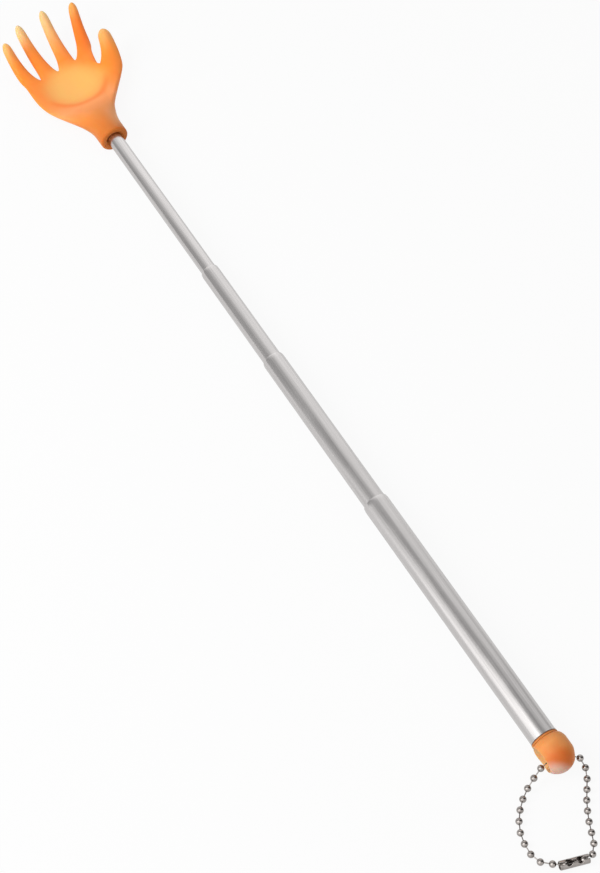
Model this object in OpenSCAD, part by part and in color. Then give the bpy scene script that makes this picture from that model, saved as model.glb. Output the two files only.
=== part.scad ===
// Telescopic back scratcher: a moulded hand on four sliding steel tubes, with an end knob and a ball chain.
// The pole lies along X with the hand at +X. The origin is on the pole's axis, midway along the handle tube.

/* [Pole] */
// Outside diameter of the handle tube
handle_d = 9.6; // [8.8:0.1:11]
// Length of the handle tube
handle_l = 104; // [90:1:130]
// Step in diameter from each tube to the next one inside it
tube_step = 1.2; // [1.1:0.05:1.4]
// Wall of the tubes
tube_wall = 0.3; // [0.2:0.05:0.35]
// Length over which each tube's mouth is swaged in
swage_l = 2.2; // [1.5:0.1:3]
// Running clearance at each mouth, on the radius
mouth_clear = 0.05; // [0.03:0.01:0.08]
// Length of each tube that still shows when the pole is closed
nest_step = 4; // [3:0.5:8]
// Length that the third tube is pushed in from fully drawn out
third_pushed = 18; // [0:1:80]
// Length that the second tube is pushed in from fully drawn out
second_pushed = 37; // [0:1:75]
// Length that the tip tube is pushed in from fully drawn out
tip_pushed = 3; // [0:1:70]

/* [Friction bushes] */
// Length of the split bushes
bush_l = 6; // [4:0.5:9]
// Running clearance of a bush, on the radius
bush_clear = 0.03; // [0.02:0.01:0.05]
// End play of a bush in its groove
bush_play = 0.1; // [0.05:0.05:0.2]
// Angle left open between two halves of a bush
bush_split = 8; // [4:1:20]
// Depth of the groove rolled into a tube for its bush
groove_deep = 0.25; // [0.15:0.05:0.35]
// Length of the ramp at each end of the groove
ramp_l = 0.4; // [0.3:0.1:0.8]
// Length of the lip behind the groove
lip_l = 1.2; // [0.8:0.1:2]
// Gap left at the end of a tube's travel
stop_gap = 0.3; // [0.2:0.1:0.6]

/* [End knob] */
// Diameter of the knob
knob_d = 12.4; // [11.6:0.1:14]
// Length of the knob beyond the handle tube
knob_l = 13; // [12:0.5:18]
// Diameter of the flange that meets the tube
flange_d = 9.9; // [9.8:0.1:10.4]
// Length of the flange that meets the tube
flange_l = 0.9; // [0.6:0.1:1.2]
// Diameter of the waist behind the flange
waist_d = 9; // [8.6:0.1:9.6]
// Length of the shoulder from the waist out to the knob's full size
shoulder_l = 3.2; // [1.5:0.1:4]
// Length of the spigot inside the handle tube
spigot_l = 8; // [5:0.5:14]
// Clearance of the spigot in the tube, on the radius
spigot_clear = 0.02; // [0.01:0.01:0.05]
// Diameter of the cross hole for the chain
cross_hole_d = 3.4; // [3:0.1:4]
// Distance from the knob's round end to the axis of the cross hole
cross_hole_inset = 4.8; // [4.4:0.1:5.6]
// Angle in plan between the cross hole and a line square across the pole
hole_turn = 14.5; // [0:0.5:16]
// Distance from the knob's axis to where the cross hole starts to flare
flare_start = 4.4; // [4:0.1:5]
// The same distance on the side where the hole has a wide recess
recess_start = 2.2; // [1.8:0.1:4]

/* [Ball chain] */
// Diameter of a bead
bead_d = 2.4; // [2.2:0.1:2.6]
// Wall of a bead
bead_wall = 0.25; // [0.15:0.05:0.3]
// Diameter of a link's wire
link_d = 0.4; // [0.3:0.05:0.5]
// Diameter of a link's two heads
link_head_d = 0.72; // [0.66:0.02:0.8]
// Clearance of a link's wire in a bead, on the radius
link_clear = 0.08; // [0.05:0.01:0.1]
// Wall of the snap connector
connector_wall = 0.3; // [0.2:0.05:0.4]
// Clearance of a bead inside the connector, on the radius
connector_clear = 0.05; // [0.03:0.01:0.1]
// Length of the connector beyond the bead that it holds at each end
connector_end = 0.7; // [0.6:0.05:1.2]
// Depth of the lip that keeps a bead in at each end of the connector
connector_lip = 0.2; // [0.15:0.01:0.22]
// Width of the slot along the connector
connector_slot = 0.8; // [0.7:0.05:1]

/* [Hand] */
// Wall of the collar round the tip tube
collar_wall = 2.9; // [2:0.1:3.4]
// Depth of the socket in the collar
socket_l = 12; // [8:0.5:14]
// Clearance of the tip tube in its socket, on the radius
socket_clear = 0.04; // [0.03:0.01:0.06]
// Depth of the flare at the socket's mouth
socket_flare = 0.8; // [0.6:0.1:1.6]
// Length from the collar's mouth to the knuckles
palm_l = 47.5; // [44:0.5:56]
// Width of the palm
palm_w = 34; // [30:0.5:37]
// Thickness of the palm
palm_t = 3.4; // [2.6:0.1:4.4]
// Height that the edges of the palm rise above its middle
palm_cup = 3; // [1:0.5:5]
// Diameter of the hollow in the palm
hollow_d = 25; // [20:0.5:28]
// Depth of the hollow in the palm
hollow_deep = 0.9; // [0.3:0.1:1.2]
// Distance that the palm is set over towards the little finger
palm_offset = 1.6; // [0:0.1:3]
// Slant of the knuckle line
knuckle_slant = 9.5; // [0:0.5:14]
// Width of a finger at its root
finger_w = 7.4; // [5.6:0.1:7.8]
// Diameter of a finger near its tip
fingertip_d = 4; // [3.2:0.1:4.4]
// Height that the fingertips rise above their knuckles
curl_h = 11.5; // [6:0.5:16]
// Length of the little finger, seen from above
little_l = 17; // [14:0.5:24]
// Length of the ring finger, seen from above
ring_l = 23.5; // [18:0.5:30]
// Length of the middle finger, seen from above
middle_l = 24.5; // [18:0.5:30]
// Length of the index finger, seen from above
index_l = 20; // [16:0.5:28]
// Width of the thumb at its root, with its web
thumb_w = 11; // [8:0.2:12]
// Thickness of the thumb at its root
thumb_t = 4.8; // [4:0.1:5.6]
// Diameter of the thumb near its tip
thumbtip_d = 5.2; // [4:0.2:5.6]

/* [Hidden] */
$fn = 64;
tiny = 0.01;

// Outside radii of the four tubes
handle_r = handle_d / 2;
third_r = handle_r - tube_step / 2;
second_r = third_r - tube_step / 2;
tip_r = second_r - tube_step / 2;

// Lengths along a tube's tail: the groove's seat, the whole tail, and the tail's end to the bush's front
seat_l = bush_l + 2 * bush_play;
tail_l = lip_l + 2 * ramp_l + seat_l;
bush_from = lip_l + ramp_l + bush_play;
bush_to = bush_from + bush_l;

// Each tube closes to a stop gap from what is behind it, and then shows one nest step
third_l = handle_l - spigot_l - stop_gap + nest_step;
second_l = third_l - tail_l - stop_gap + nest_step;
tip_l = second_l - tail_l - stop_gap + nest_step;

// Places along X: the handle's two ends, then each tube's mouth and tail
handle_end = -handle_l / 2;
handle_mouth = handle_l / 2;
third_tail = tail_of(handle_mouth, third_pushed);
third_mouth = third_tail + third_l;
second_tail = tail_of(third_mouth, second_pushed);
second_mouth = second_tail + second_l;
tip_tail = tail_of(second_mouth, tip_pushed);
collar_mouth = tip_tail + tip_l;

// The knob's ball, its cross hole and the surface that the object lies on
knob_r = knob_d / 2;
ball_back = knob_l - knob_r;
hole_x = handle_end - knob_l + cross_hole_inset;
ground = -knob_r;

// The chain: two runs of beads leave the knob's hole and meet in the connector
run_steps = 12;
left_count = 13;
right_count = 12;
bead_count = left_count + 1 + right_count;
bead_r = bead_d / 2;
lying = ground + bead_r;
held = ground + bead_r + connector_clear + connector_wall;
hole_way = [sin(hole_turn), cos(hole_turn), 0];
// Length of each run that is straight in the hole, and how far the chain is drawn through towards -Y
straight_l = 3.6;
drawn_through = 0.8;
in_hole = straight_l * hole_way;
middle_bead = -drawn_through * hole_way;
left_run = [
    middle_bead, in_hole, [-0.4, 8.6, -1.8], [-3.6, 15.3, lying], [-9.4, 21.2, lying],
    [-16.2, 24.2, lying], [-24, 23.8, lying], [-29.3, 17.3, held]];
right_run = [
    middle_bead, -in_hole, [-2.8, -6.8, -2.2], [-6.2, -7, -4.2], [-9.4, -5.4, lying],
    [-15.4, -1, lying], [-21.7, 2.5, lying], [-28, 5.2, lying], [-30.9, 7.8, lying], [-31, 11.3, held]];
beads = concat(
    [for (k = [left_count:-1:0]) bead_on(left_run, k / left_count)],
    [for (k = [1:right_count]) bead_on(right_run, k / right_count)]);

// The connector spans the two end beads
grip = beads[bead_count - 1] - beads[0];
connector_r = bead_r + connector_clear + connector_wall;
connector_l = norm(grip) + bead_d + 2 * connector_end;

// The hand: the round neck spreads into the palm between these two places
collar_r = tip_r + collar_wall;
spread_from = 6.5;
spread_to = 43;
knuckle_z = ground + palm_t / 2;
// Each finger's length, its angle from the pole towards the little finger's side, and its shift to that side
fingers = [[little_l, 11, 0.3], [ring_l, 7, -0.2], [middle_l, 0, -1.2], [index_l, -10, -1.7]];
// Share of a finger's length where its curl begins
curl_at = 0.6;
// The thumb: how far behind the knuckles its root and its bend lie, and its tip ahead of them
thumb_back = 12;
thumb_bend = 5.5;
thumb_ahead = 3.4;
// How far outside the palm's edge its root, its bend and its tip lie
thumb_from = 0.6;
thumb_out = 6.2;
thumbtip_out = 5.3;
// Height of its root and its bend above the knuckles
thumb_up = 2.7;
palm_edge = palm_offset - palm_w / 2;
thumb_path = [
    [palm_l - thumb_back, palm_edge - thumb_from, knuckle_z + thumb_up],
    [palm_l - thumb_bend, palm_edge - thumb_out, knuckle_z + thumb_up],
    [palm_l + thumb_ahead, palm_edge - thumbtip_out, knuckle_z + curl_h]];
// Distance from the knuckles back to the middle of the palm's hollow
hollow_back = 10.5;
// Shares along a digit where its rings are drawn, and where its tip starts to round off
digit_stations = [0.13, 0.28, 0.43, 0.57, 0.7, 0.81, 0.9, 0.96, 1];
round_from = 0.86;
// How fast a digit's width tapers, and how blunt its tip is left
taper = 1.4;
blunt = 1.06;
// Share of the full size at the collar's mouth
mouth_size = 0.72;

// The palm's slices: the first behind the rounded mouth, how many follow, and the points across a finger
slice_from = 4;
slices = 15;
finger_facets = 4;
ring_sides = 2 * finger_facets * len(fingers);
// The slices between which the thumb leaves the palm's edge, and its points above and below that edge
thumb_slices = [5, slices];
thumb_facets = 2;

// Angles between the points of a turned edge and of the knob's outline
edge_turn = 15;
knob_turn = 6;

steel = "silver";
amber = "orange";
brass = "goldenrod";
nickel = "gainsboro";

// A tube's tail end, when its bush stands the given length short of the stop in the outer tube's mouth
function tail_of(outer_mouth, pushed) = outer_mouth - swage_l - stop_gap - pushed - bush_to;

function reverse(list) = [for (i = [len(list) - 1:-1:0]) list[i]];
function smooth(t) = let (c = min(max(t, 0), 1)) c * c * (3 - 2 * c);
function bead_name(i) = str("chain_bead_", i < 10 ? "0" : "", i);

// A quarter ellipse that takes a swaged mouth from its full radius in to its neck
function shoulder(full, neck, end) =
    [for (a = [0:edge_turn:90]) [neck + (full - neck) * cos(a), end - swage_l * (1 - sin(a))]];

// One surface of a grooved tail, from the tube's end
function grooved(r) = [
    [r, 0], [r, lip_l], [r - groove_deep, lip_l + ramp_l],
    [r - groove_deep, lip_l + ramp_l + seat_l], [r, tail_l]];

// A smooth curve through four neighbouring points
function curve(a, b, c, d, t) =
    b + (c - a) * t / 2 + (2 * a - 5 * b + 4 * c - d) * t * t / 2 + (3 * b - a - 3 * c + d) * t * t * t / 2;

// Points along a run, its length to each of them, and the place at a share of the whole length
function run_points(run) = let (last = len(run) - 1) [
    for (i = [0:last - 1], s = [0:run_steps - 1])
        curve(run[max(i - 1, 0)], run[i], run[i + 1], run[min(i + 2, last)], s / run_steps),
    run[last]];
function run_lengths(p, i = 0, so_far = 0) =
    i == len(p) - 1 ? [so_far] : concat([so_far], run_lengths(p, i + 1, so_far + norm(p[i + 1] - p[i])));
function bead_on(run, share) =
    let (p = run_points(run), l = run_lengths(p), at = share * l[len(l) - 1])
    let (place = [for (c = [0:2]) lookup(at, [for (i = [0:len(p) - 1]) [l[i], p[i][c]]])])
    [hole_x + place[0], place[1], max(place[2], lying)];

// A curve from a first to a last point, drawn towards the middle one, and its direction
function bend(p, t) = p[0] * (1 - t) * (1 - t) + p[1] * 2 * t * (1 - t) + p[2] * t * t;
function heading(p, t) = let (d = (p[1] - p[0]) * (1 - t) + (p[2] - p[1]) * t) d / norm(d);

// A ring round a digit, which tapers from its root's width and thickness and closes in a round tip
function digit_ring(digit, t) =
    let (path = digit[0], tip_d = digit[3], points = len(digit[4]))
    let (d = heading(path, t), side = [-d[1], d[0], 0] / norm([d[0], d[1]]), up = cross(d, side))
    let (past = max(t - round_from, 0) / (1 - round_from), close = sqrt(blunt - past * past) / 2)
    let (w = (tip_d + (digit[1] - tip_d) * pow(1 - t, taper)) * close)
    let (h = (tip_d + (digit[2] - tip_d) * (1 - t)) * close)
    [for (i = [0:points - 1])
        let (a = digit[5] + 360 * i / points) bend(path, t) + side * w * cos(a) + up * h * sin(a)];

// How far the neck has spread into the palm at a distance along the hand, more of it early than late
function spread(x) =
    let (u = min(max((x - spread_from) / (spread_to - spread_from), 0), 1))
    1 - pow(1 - u, 3) * (1 + 3 * u);
function blend(from, to, x) = from + (to - from) * spread(x);

// How far across a slice its point lies, from 1 to -1: round the neck, and in even steps over the palm
function share_across(i, x) =
    let (round = cos(360 * i / ring_sides), even = abs(4 * i / ring_sides - 2) - 1)
    round + (even - round) * spread(x);

// How far a point above the palm sinks into the round hollow
function hollow(x, y) =
    let (from = norm([x - palm_l + hollow_back, y]) / (hollow_d / 2)) hollow_deep * max(1 - from * from, 0);

// A point of a slice across the palm: an ellipse whose ends rise with the cup, turned to the knuckles' slant
function palm_point(i, x, size) =
    let (share = share_across(i, x), above = i > 0 && i < ring_sides / 2)
    let (y = blend(collar_r, palm_w / 2, x) * size * share)
    let (up = blend(collar_r, palm_t / 2, x) * size * sqrt(max(1 - share * share, 0)))
    let (place = [x - y * tan(knuckle_slant) * spread(x), y + blend(0, palm_offset, x)])
    [
        place[0],
        place[1],
        blend(0, knuckle_z, x) + blend(0, palm_cup, x) * share * share
            + (above ? up - hollow(place[0], place[1]) : -up)
    ];

// The slices' places along the hand and their sizes, from the rounded mouth of the collar to the knuckles
palm_rows = concat(
    [for (a = [edge_turn:edge_turn:90])
        [socket_flare * (1 - cos(a)), mouth_size + (1 - mouth_size) * sin(a)]],
    [for (k = [0:slices]) [slice_from + (palm_l - slice_from) * k / slices, 1]]);
first_slice = len(palm_rows) - 1 - slices;
palm_points = [for (row = palm_rows, i = [0:ring_sides - 1]) palm_point(i, row[0], row[1])];

// A finger's three bend points, from the middle of its root
function finger_path(i) =
    let (l = fingers[i][0], way = fingers[i][1], forward = [cos(way), sin(way), 0])
    let (share = 1 - (2 * i + 1) / len(fingers), y = palm_w / 2 * share)
    let (across = y + palm_offset + fingers[i][2])
    let (root = [palm_l - y * tan(knuckle_slant), across, knuckle_z + palm_cup * share * share])
    [root, root + curl_at * l * forward, root + l * forward + [0, 0, curl_h]];

// The palm's points that a finger grows from: those above its root, then those beneath, each shared once
function finger_root(i) =
    let (k = finger_facets, last = len(fingers) - 1, row = (len(palm_rows) - 1) * ring_sides)
    concat(
        [for (j = [0:k]) row + i * k + j],
        [for (j = [i == last ? 1 : 0:i == 0 ? k - 1 : k]) row + ring_sides - (i + 1) * k + j]);

// The palm's points that the thumb grows from: down its rear, along beneath, up its front and back above
function thumb_root() =
    let (rear = first_slice + thumb_slices[0], front = first_slice + thumb_slices[1])
    let (above = ring_sides / 2 - thumb_facets, below = ring_sides / 2 + thumb_facets)
    concat(
        [for (i = [above:below]) rear * ring_sides + i],
        [for (r = [rear + 1:front - 1]) r * ring_sides + below],
        [for (i = [below:-1:above]) front * ring_sides + i],
        [for (r = [front - 1:-1:rear + 1]) r * ring_sides + above]);

function in_thumb(r, i) =
    r >= first_slice + thumb_slices[0] && r < first_slice + thumb_slices[1]
    && abs(i + 0.5 - ring_sides / 2) < thumb_facets;

// Each digit: its bend, root width, root thickness, tip, root points and the angle of the first of those
digits = concat(
    [for (i = [0:len(fingers) - 1])
        let (root = finger_root(i))
        [finger_path(i), finger_w, palm_t, fingertip_d, root, i == 0 ? 0 : 180 / len(root)]],
    [[thumb_path, thumb_w, thumb_t, thumbtip_d, thumb_root(), 180 - 360 * thumb_facets / len(thumb_root())]]);
function digit_start(i) =
    i == 0 ? len(palm_points) : digit_start(i - 1) + len(digits[i - 1][4]) * len(digit_stations);
function digit_rings(i) =
    let (n = len(digits[i][4]))
    concat([digits[i][4]], [
        for (r = [0:len(digit_stations) - 1])
            [for (j = [0:n - 1]) digit_start(i) + r * n + j]]);

// Two triangles between neighbouring points of two rings, and the triangles that close a ring
function wall(from, to, i) =
    let (j = (i + 1) % len(from)) [[to[j], from[j], from[i]], [to[i], to[j], from[i]]];
function walls(rings) = [
    for (r = [0:len(rings) - 2], i = [0:len(rings[0]) - 1])
        each wall(rings[r], rings[r + 1], i)];
function cap(ring) = [for (i = [1:len(ring) - 2]) [ring[i + 1], ring[i], ring[0]]];
function palm_ring(r) = [for (i = [0:ring_sides - 1]) r * ring_sides + i];

// Turns what is drawn along Z to lie along X, from the given place
module along_x(x) {
    translate([x, 0, 0])
        rotate([0, 90, 0])
            children();
}

// Turns what is drawn along X to point along a vector, from the given place
module pointing(place, v) {
    translate(place)
        rotate([0, -asin(v[2] / norm(v)), atan2(v[1], v[0])])
            children();
}

// A thin tube between an outer and an inner line, each given from the tail to the mouth
module turned(outer, inner) {
    rotate_extrude()
        polygon(concat(outer, reverse(inner)));
}

module sliding_tube(r, inner_r, tail, l) {
    bore = r - tube_wall;
    neck = inner_r + mouth_clear;
    color(steel)
        along_x(tail)
            turned(concat(grooved(r), shoulder(r, neck + tube_wall, l)),
                   concat(grooved(bore), shoulder(bore, neck, l)));
}

module handle_tube() {
    bore = handle_r - tube_wall;
    neck = third_r + mouth_clear;
    color(steel)
        along_x(handle_end)
            turned(concat([[handle_r, 0]], shoulder(handle_r, neck + tube_wall, handle_l)),
                   concat([[bore, 0]], shoulder(bore, neck, handle_l)));
}

module tip_tube() {
    end = tip_l + socket_l - stop_gap;
    bore = tip_r - tube_wall;
    color(steel)
        along_x(tip_tail)
            turned(concat(grooved(tip_r), [[tip_r, end]]),
                   concat(grooved(bore), [[bore, end]]));
}

// Half of a split bush, which turns in the groove of its own tube and slides in the bore of the outer one
module bush_half(r, tail, side) {
    inner = r - groove_deep + bush_clear;
    outer = r + tube_step / 2 - tube_wall - bush_clear;
    color(brass)
        along_x(tail + bush_from)
            rotate([0, 0, side + bush_split / 2])
                rotate_extrude(angle = 180 - bush_split)
                    translate([inner, 0])
                        square([outer - inner, bush_l]);
}

// The knob is drawn from its spigot, through the flange, waist and shoulder, to the round end of its ball
module end_knob() {
    spigot_r = handle_r - tube_wall - spigot_clear;
    waist_r = waist_d / 2;
    spigot = [[0, spigot_l], [spigot_r, spigot_l], [spigot_r, 0]];
    flange = [[flange_d / 2, 0], [flange_d / 2, -flange_l]];
    swell = [for (a = [0:knob_turn:90])
        [waist_r + (knob_r - waist_r) * sin(a), -flange_l - shoulder_l * (1 - cos(a))]];
    dome = [for (a = [0:knob_turn:90]) [knob_r * cos(a), -ball_back - knob_r * sin(a)]];
    color(amber)
        difference() {
            along_x(handle_end)
                rotate_extrude()
                    polygon(concat(spigot, flange, swell, dome));
            translate([hole_x, 0, 0])
                rotate([0, 0, -hole_turn]) {
                    rotate([90, 0, 0])
                        cross_hole(flare_start);
                    rotate([-90, 0, 0])
                        cross_hole(recess_start);
                }
        }
}

// Half of the knob's cross hole, which flares out from a start towards its mouth
module cross_hole(start) {
    hole_r = cross_hole_d / 2;
    reach = knob_d;
    translate([0, 0, -tiny])
        cylinder(h = reach, r = hole_r);
    translate([0, 0, start])
        cylinder(h = reach - start, r1 = hole_r, r2 = hole_r + reach - start);
}

// A hollow bead with a hole towards each link that it holds
module chain_bead(i) {
    here = beads[i - 1];
    before = beads[max(i - 2, 0)];
    after = beads[min(i, bead_count - 1)];
    color(nickel)
        difference() {
            pointing(here, after - before)
                rotate([0, 0, 90])
                    bead_shell();
            for (other = [before, after])
                if (other != here)
                    pointing(here, other - here)
                        rotate([0, 90, 0])
                            cylinder(h = bead_d, r = link_d / 2 + link_clear);
        }
}

module bead_shell() {
    difference() {
        sphere(r = bead_r);
        sphere(r = bead_r - bead_wall);
    }
}

// A wire with a head inside each of two neighbouring beads
module chain_link(i) {
    span = beads[i] - beads[i - 1];
    head_in = bead_r - bead_wall - link_head_d / 2 - link_clear;
    pointing(beads[i - 1], span)
        rotate([0, 90, 0]) {
            translate([0, 0, head_in])
                cylinder(h = norm(span) - 2 * head_in, r = link_d / 2);
            for (z = [head_in, norm(span) - head_in])
                translate([0, 0, z])
                    sphere(d = link_head_d);
        }
}

module chain_links() {
    color(nickel)
        for (i = [1:bead_count - 1])
            chain_link(i);
}

// A sheet sleeve with drawn-in ends, a slot along its top and a window to drop each end bead through
module chain_connector() {
    inside = connector_r - connector_wall;
    throat = bead_r - connector_lip;
    half = connector_l / 2;
    window_r = bead_r + connector_clear;
    window_at = norm(grip) / 2 - bead_r;
    outer = [[throat + connector_wall, -half], [connector_r, connector_wall - half],
             [connector_r, half - connector_wall], [throat + connector_wall, half]];
    inner = [[throat, -half], [throat, connector_wall - half], [inside, 2 * connector_wall - half],
             [inside, half - 2 * connector_wall], [throat, half - connector_wall], [throat, half]];
    color(nickel)
        pointing((beads[0] + beads[bead_count - 1]) / 2, grip)
            difference() {
                along_x(0)
                    turned(outer, inner);
                translate([-connector_l, -connector_slot / 2, 0])
                    cube([2 * connector_l, connector_slot, 2 * connector_r]);
                for (x = [-window_at, window_at])
                    translate([x, 0, 0])
                        cylinder(h = 2 * connector_r, r = window_r);
            }
}

// The hand under one skin: the palm's slices, less the thumb's root, and the rings of each digit
module hand_skin() {
    palm_faces = [
        for (r = [0:len(palm_rows) - 2], i = [0:ring_sides - 1])
            if (!in_thumb(r, i))
                each wall(palm_ring(r), palm_ring(r + 1), i)];
    digit_points = [for (digit = digits, t = digit_stations) each digit_ring(digit, t)];
    digit_faces = [
        for (i = [0:len(digits) - 1])
            let (rings = digit_rings(i))
            each concat(walls(rings), cap(rings[len(rings) - 1]))];
    polyhedron(
        concat(palm_points, digit_points),
        concat(palm_faces, cap(reverse(palm_ring(0))), digit_faces));
}

module scratching_hand() {
    bore = tip_r + socket_clear;
    color(amber)
        difference() {
            translate([collar_mouth, 0, 0])
                hand_skin();
            along_x(collar_mouth - tiny)
                cylinder(h = socket_l + tiny, r = bore);
            along_x(collar_mouth - tiny)
                cylinder(h = socket_flare + tiny, r1 = bore + socket_flare, r2 = bore);
        }
}

handle_tube();
end_knob();
bush_half(third_r, third_tail, 0);  // third_bush_upper
bush_half(third_r, third_tail, 180);  // third_bush_lower
sliding_tube(third_r, second_r, third_tail, third_l);  // third_tube
bush_half(second_r, second_tail, 0);  // second_bush_upper
bush_half(second_r, second_tail, 180);  // second_bush_lower
sliding_tube(second_r, tip_r, second_tail, second_l);  // second_tube
bush_half(tip_r, tip_tail, 0);  // tip_bush_upper
bush_half(tip_r, tip_tail, 180);  // tip_bush_lower
tip_tube();
scratching_hand();
chain_connector();
chain_links();
for (i = [1:bead_count])
    chain_bead(i);
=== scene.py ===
# %% [markdown]
# # A telescopic back scratcher
# The real object is a small moulded hand on four steel tubes that slide into each other, with a plastic
# knob at the other end and a loop of ball chain to hang it by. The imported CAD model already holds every
# piece at its real size, so this notebook only dresses it: each cell makes one piece as a smooth surface,
# in the same place, and gives it a finish.

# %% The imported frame
import math

import bpy
import numpy as np
from mathutils import Matrix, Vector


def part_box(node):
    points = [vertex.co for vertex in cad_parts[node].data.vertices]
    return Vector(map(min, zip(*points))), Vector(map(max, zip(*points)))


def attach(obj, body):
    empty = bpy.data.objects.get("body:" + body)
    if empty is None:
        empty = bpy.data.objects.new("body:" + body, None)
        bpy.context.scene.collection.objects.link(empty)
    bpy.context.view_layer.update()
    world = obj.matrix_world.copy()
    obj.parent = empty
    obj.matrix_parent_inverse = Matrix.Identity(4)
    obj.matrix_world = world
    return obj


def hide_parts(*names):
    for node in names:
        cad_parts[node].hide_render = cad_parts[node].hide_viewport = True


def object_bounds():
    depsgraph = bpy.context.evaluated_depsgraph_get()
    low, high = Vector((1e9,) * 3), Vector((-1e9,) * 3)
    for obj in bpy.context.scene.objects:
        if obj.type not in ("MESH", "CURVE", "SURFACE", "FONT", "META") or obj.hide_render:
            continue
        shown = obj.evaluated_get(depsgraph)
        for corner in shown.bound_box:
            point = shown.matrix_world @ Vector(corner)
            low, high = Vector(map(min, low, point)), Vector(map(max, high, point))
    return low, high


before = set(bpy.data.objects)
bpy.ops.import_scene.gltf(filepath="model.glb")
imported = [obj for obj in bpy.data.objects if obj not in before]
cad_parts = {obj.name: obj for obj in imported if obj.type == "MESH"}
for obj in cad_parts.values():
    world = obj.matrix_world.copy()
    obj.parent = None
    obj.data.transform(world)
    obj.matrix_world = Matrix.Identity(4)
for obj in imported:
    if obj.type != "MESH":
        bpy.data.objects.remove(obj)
cad_box = [list(corner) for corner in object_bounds()]
MM = 0.001
print("CAD box in mm:", [[round(c / MM, 2) for c in corner] for corner in cad_box])

# %% [markdown]
# ## The camera
# The photograph looks down on the pole from above the knob. Its focal length and place were worked out from
# the widths of the tubes, which shrink with distance, so the camera is set by its own three directions
# rather than aimed at a point.

# %% The camera
LENS_PX, PHOTO_H = 1900, 873
right = np.array([-0.5090, -0.8607, 0.0])
up = np.array([0.7202, -0.4259, 0.5476])
back = np.array([-0.4713, 0.2787, 0.8368])
place = np.array([-232.1, 198.7, 570.5]) * MM


def placed(axes, at):
    """A 4 by 4 matrix whose columns are the three directions and the place."""
    turn = np.eye(4)
    turn[:3, :3] = np.stack(axes, axis=1)
    turn[:3, 3] = at
    return Matrix(turn.tolist())


camera = bpy.data.objects.new("camera", bpy.data.cameras.new("camera"))
camera.data.sensor_fit = "VERTICAL"
camera.data.sensor_height = 36
camera.data.lens = LENS_PX / PHOTO_H * camera.data.sensor_height
camera.data.clip_start = 0.01
camera.matrix_world = placed([right, up, back], place)
bpy.context.scene.collection.objects.link(camera)
bpy.context.scene.camera = camera
print("lens in mm:", round(camera.data.lens, 2))

# %% [markdown]
# ## Surfaces from arrays
# Nearly every piece here is a line carried round an axis or along a path. Blender's Screw modifier or a
# curve's bevel would do the plain ones, but a grid of points in numpy does them all in the same way: rows of
# points run along the piece, columns run round it, and the faces follow from the grid's own numbering.

# %% Grids
def numbered(grid, closed=False):
    """The grid's point numbers by row, with the first row again at the end where the profile is closed."""
    numbers = np.arange(grid.shape[0] * grid.shape[1]).reshape(grid.shape[:2])
    return np.vstack([numbers, numbers[:1]]) if closed else numbers


def ring_quads(rings):
    """Faces between rings of point numbers: points i and i + 1 of one ring with those of the next."""
    here, ahead = np.asarray(rings)[:-1], np.asarray(rings)[1:]
    quads = np.stack([here, np.roll(here, -1, 1), np.roll(ahead, -1, 1), ahead], axis=-1)
    return quads.reshape(-1, 4)


def lathe(profile, sides):
    """A profile of (distance, radius) carried round X: y is radius times cos a, z radius times sin a."""
    distance, radius = np.asarray(profile, float).T
    a = np.arange(sides) * 2 * np.pi / sides
    x = np.repeat(distance[:, None], sides, axis=1)
    return np.stack([x, radius[:, None] * np.cos(a), radius[:, None] * np.sin(a)], axis=-1)


print("a lathe of 2 by 8 points has", len(ring_quads(numbered(lathe([[0, 1], [1, 1]], 8)))), "faces")


# %% Pieces
def new_piece(name, points, faces, sharp=40):
    """A smooth mesh object from points in millimetres; edges that turn past `sharp` degrees stay crisp."""
    mesh = bpy.data.meshes.new(name)
    corners = (np.asarray(points).reshape(-1, 3) * MM).tolist()
    mesh.from_pydata(corners, [], [list(map(int, f)) for f in faces])
    mesh.shade_smooth()
    mesh.set_sharp_from_angle(angle=math.radians(sharp))
    piece = bpy.data.objects.new(name, mesh)
    bpy.context.scene.collection.objects.link(piece)
    return piece


def dress(piece, body, slot, material, *nodes):
    """The piece moves with its CAD body and stands for its CAD nodes."""
    piece.data.materials.append(material)
    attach(piece, body)
    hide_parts(*nodes)
    return piece


print("CAD nodes to dress:", len(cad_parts))

# %% [markdown]
# ## Building materials
# A material is a small graph of nodes. One helper adds a node and sets or links its inputs, so that each
# finish below reads as a list of what it is made of. Effects that more than one finish needs are node groups
# with their own named sockets.

# %% Node helpers
def add_node(tree, kind, inputs=None, **settings):
    """Adds a node; an input that is another node's output is linked, and any other value is set."""
    made = tree.nodes.new(kind)
    for key, value in settings.items():
        setattr(made, key, value)
    for key, value in (inputs or {}).items():
        if isinstance(value, bpy.types.NodeSocket):
            tree.links.new(value, made.inputs[key])
        else:
            made.inputs[key].default_value = value
    return made


def reckon(tree, operation, *values, **settings):
    """One Math node's result on its values."""
    made = add_node(tree, "ShaderNodeMath", dict(enumerate(values)), operation=operation, **settings)
    return made.outputs["Value"]


def spread(tree, value, low, high):
    """Noise between 0.3 and 0.7, which is where nearly all of it lies, spread over low to high."""
    made = add_node(tree, "ShaderNodeMapRange", {
        "Value": value, "From Min": 0.3, "From Max": 0.7, "To Min": low, "To Max": high})
    return made.outputs["Result"]


def ramp(tree, value, stops):
    """A colour ramp through (place, colour) stops."""
    made = add_node(tree, "ShaderNodeValToRGB", {"Fac": value})
    elements = made.color_ramp.elements
    for _ in stops[2:]:
        elements.new(0.5)
    for element, (at, colour) in zip(elements, stops):
        element.position = at
        element.color = (*colour, 1)
    return made.outputs["Color"]


def srgb(r, g, b):
    """A colour given in 0 to 255, turned by the sRGB curve to the linear light Blender works in."""
    c = np.array([r, g, b]) / 255
    return tuple(np.where(c <= 0.04045, c / 12.92, ((c + 0.055) / 1.055) ** 2.4).tolist())


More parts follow.
